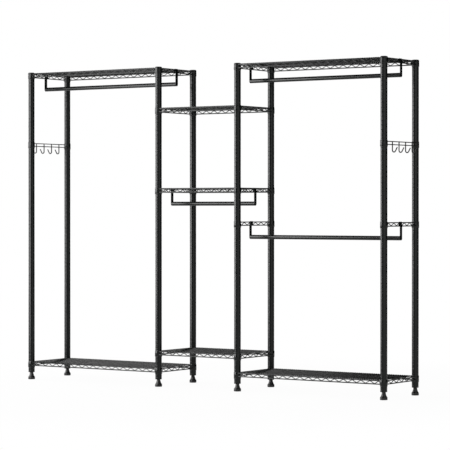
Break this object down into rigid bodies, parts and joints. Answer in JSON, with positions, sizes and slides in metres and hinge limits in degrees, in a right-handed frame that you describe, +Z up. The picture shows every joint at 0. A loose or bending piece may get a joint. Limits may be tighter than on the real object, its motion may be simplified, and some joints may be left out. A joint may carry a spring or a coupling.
{
  "type": "clothes rack",
  "caption": "Freestanding clothes rack: round posts with clamped wire shelves, hanging rods under the shelves, coat hooks on both ends and levelling feet.",
  "frame": {"origin": "on the floor, under the middle of the overall box", "axes": "+X along the width towards the viewer's right, +Y to the back, +Z up; the front faces -Y"},
  "size_m": [2.695, 0.4074, 1.95],
  "materials": {
    "black_powder_coat": "fine satin powder coat on steel",
    "black_nylon": "moulded, matte",
    "zinc_plated_steel": "zinc plated"
  },
  "bodies": {
    "rack": {"post_left_outer_front_lower": "black_powder_coat", "post_left_outer_front_upper": "black_powder_coat", "cap_left_outer_front": "black_nylon", "foot_nut_left_outer_front": "zinc_plated_steel", "post_left_outer_back_lower": "black_powder_coat", "post_left_outer_back_upper": "black_powder_coat", "cap_left_outer_back": "black_nylon", "foot_nut_left_outer_back": "zinc_plated_steel", "post_left_inner_front_lower": "black_powder_coat", "post_left_inner_front_upper": "black_powder_coat", "cap_left_inner_front": "black_nylon", "foot_nut_left_inner_front": "zinc_plated_steel", "post_left_inner_back_lower": "black_powder_coat", "post_left_inner_back_upper": "black_powder_coat", "cap_left_inner_back": "black_nylon", "foot_nut_left_inner_back": "zinc_plated_steel", "post_right_inner_front_lower": "black_powder_coat", "post_right_inner_front_upper": "black_powder_coat", "cap_right_inner_front": "black_nylon", "foot_nut_right_inner_front": "zinc_plated_steel", "post_right_inner_back_lower": "black_powder_coat", "post_right_inner_back_upper": "black_powder_coat", "cap_right_inner_back": "black_nylon", "foot_nut_right_inner_back": "zinc_plated_steel", "post_right_outer_front_lower": "black_powder_coat", "post_right_outer_front_upper": "black_powder_coat", "cap_right_outer_front": "black_nylon", "foot_nut_right_outer_front": "zinc_plated_steel", "post_right_outer_back_lower": "black_powder_coat", "post_right_outer_back_upper": "black_powder_coat", "cap_right_outer_back": "black_nylon", "foot_nut_right_outer_back": "zinc_plated_steel", "left_top_shelf": "black_powder_coat", "left_bottom_shelf": "black_powder_coat", "right_top_shelf": "black_powder_coat", "right_bottom_shelf": "black_powder_coat", "middle_high_shelf": "black_powder_coat", "middle_centre_shelf": "black_powder_coat", "middle_low_shelf": "black_powder_coat", "right_bay_outer_side_frame": "black_powder_coat", "right_bay_inner_side_frame": "black_powder_coat", "right_hook_rack": "black_powder_coat", "left_hook_rack": "black_powder_coat", "left_rod": "black_powder_coat", "right_top_rod": "black_powder_coat", "right_low_rod": "black_powder_coat", "middle_rod": "black_powder_coat"},
    "foot_left_outer_front": {"foot_left_outer_front": "black_nylon"},
    "foot_left_outer_back": {"foot_left_outer_back": "black_nylon"},
    "foot_left_inner_front": {"foot_left_inner_front": "black_nylon"},
    "foot_left_inner_back": {"foot_left_inner_back": "black_nylon"},
    "foot_right_inner_front": {"foot_right_inner_front": "black_nylon"},
    "foot_right_inner_back": {"foot_right_inner_back": "black_nylon"},
    "foot_right_outer_front": {"foot_right_outer_front": "black_nylon"},
    "foot_right_outer_back": {"foot_right_outer_back": "black_nylon"}
  },
  "joints": [
    {"name": "foot_left_outer_front_screw", "type": "slide", "parent": "rack", "child": "foot_left_outer_front", "axis": [0, 0, -1], "range_m": [0, 0.015]},
    {"name": "foot_left_outer_back_screw", "type": "slide", "parent": "rack", "child": "foot_left_outer_back", "axis": [0, 0, -1], "range_m": [0, 0.015]},
    {"name": "foot_left_inner_front_screw", "type": "slide", "parent": "rack", "child": "foot_left_inner_front", "axis": [0, 0, -1], "range_m": [0, 0.015]},
    {"name": "foot_left_inner_back_screw", "type": "slide", "parent": "rack", "child": "foot_left_inner_back", "axis": [0, 0, -1], "range_m": [0, 0.015]},
    {"name": "foot_right_inner_front_screw", "type": "slide", "parent": "rack", "child": "foot_right_inner_front", "axis": [0, 0, -1], "range_m": [0, 0.015]},
    {"name": "foot_right_inner_back_screw", "type": "slide", "parent": "rack", "child": "foot_right_inner_back", "axis": [0, 0, -1], "range_m": [0, 0.015]},
    {"name": "foot_right_outer_front_screw", "type": "slide", "parent": "rack", "child": "foot_right_outer_front", "axis": [0, 0, -1], "range_m": [0, 0.015]},
    {"name": "foot_right_outer_back_screw", "type": "slide", "parent": "rack", "child": "foot_right_outer_back", "axis": [0, 0, -1], "range_m": [0, 0.015]}
  ]
}
